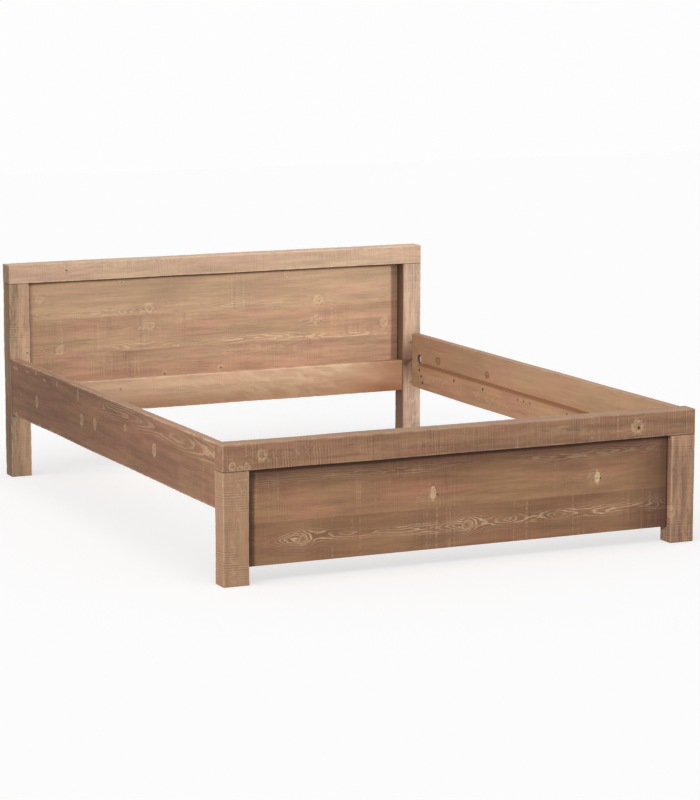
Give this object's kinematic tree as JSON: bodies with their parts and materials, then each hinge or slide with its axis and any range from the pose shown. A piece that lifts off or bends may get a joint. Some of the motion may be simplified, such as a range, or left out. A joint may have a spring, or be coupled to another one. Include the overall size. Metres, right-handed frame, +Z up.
{
  "type": "double bed frame",
  "caption": "Double bed frame in stained rough-sawn softwood, with a panelled head and foot under heavy caps, side rails and slat ledges.",
  "frame": {"origin": "on the floor under the middle of the bed", "axes": "+X across the bed, +Y from the foot to the head, +Z up"},
  "size_m": [1.7, 2.14, 0.796],
  "materials": {
    "stained_softwood": "rough-sawn softwood with a matt brown stain",
    "beech_dowel": "plain turned beech",
    "screw_steel": "browned countersunk screw",
    "zinc_steel": "bright zinc plate"
  },
  "bodies": {
    "root": {"head_post_left": "stained_softwood", "head_post_right": "stained_softwood", "head_cap": "stained_softwood", "head_board_lowest": "stained_softwood", "head_board_lower": "stained_softwood", "head_board_upper": "stained_softwood", "head_board_top": "stained_softwood", "head_crossrail": "stained_softwood", "foot_leg_left": "stained_softwood", "foot_leg_right": "stained_softwood", "foot_cap": "stained_softwood", "foot_board_lower": "stained_softwood", "foot_board_upper": "stained_softwood", "side_rail_left": "stained_softwood", "side_rail_right": "stained_softwood", "slat_ledge_left": "stained_softwood", "slat_ledge_right": "stained_softwood", "head_cap_dowels": "beech_dowel", "foot_cap_dowels": "beech_dowel", "rail_dowels": "beech_dowel", "ledge_screws_left": "screw_steel", "ledge_screws_right": "screw_steel", "head_panel_screws": "screw_steel", "bed_studs": "zinc_steel", "bed_washers": "zinc_steel", "bed_nuts": "zinc_steel"}
  },
  "joints": []
}
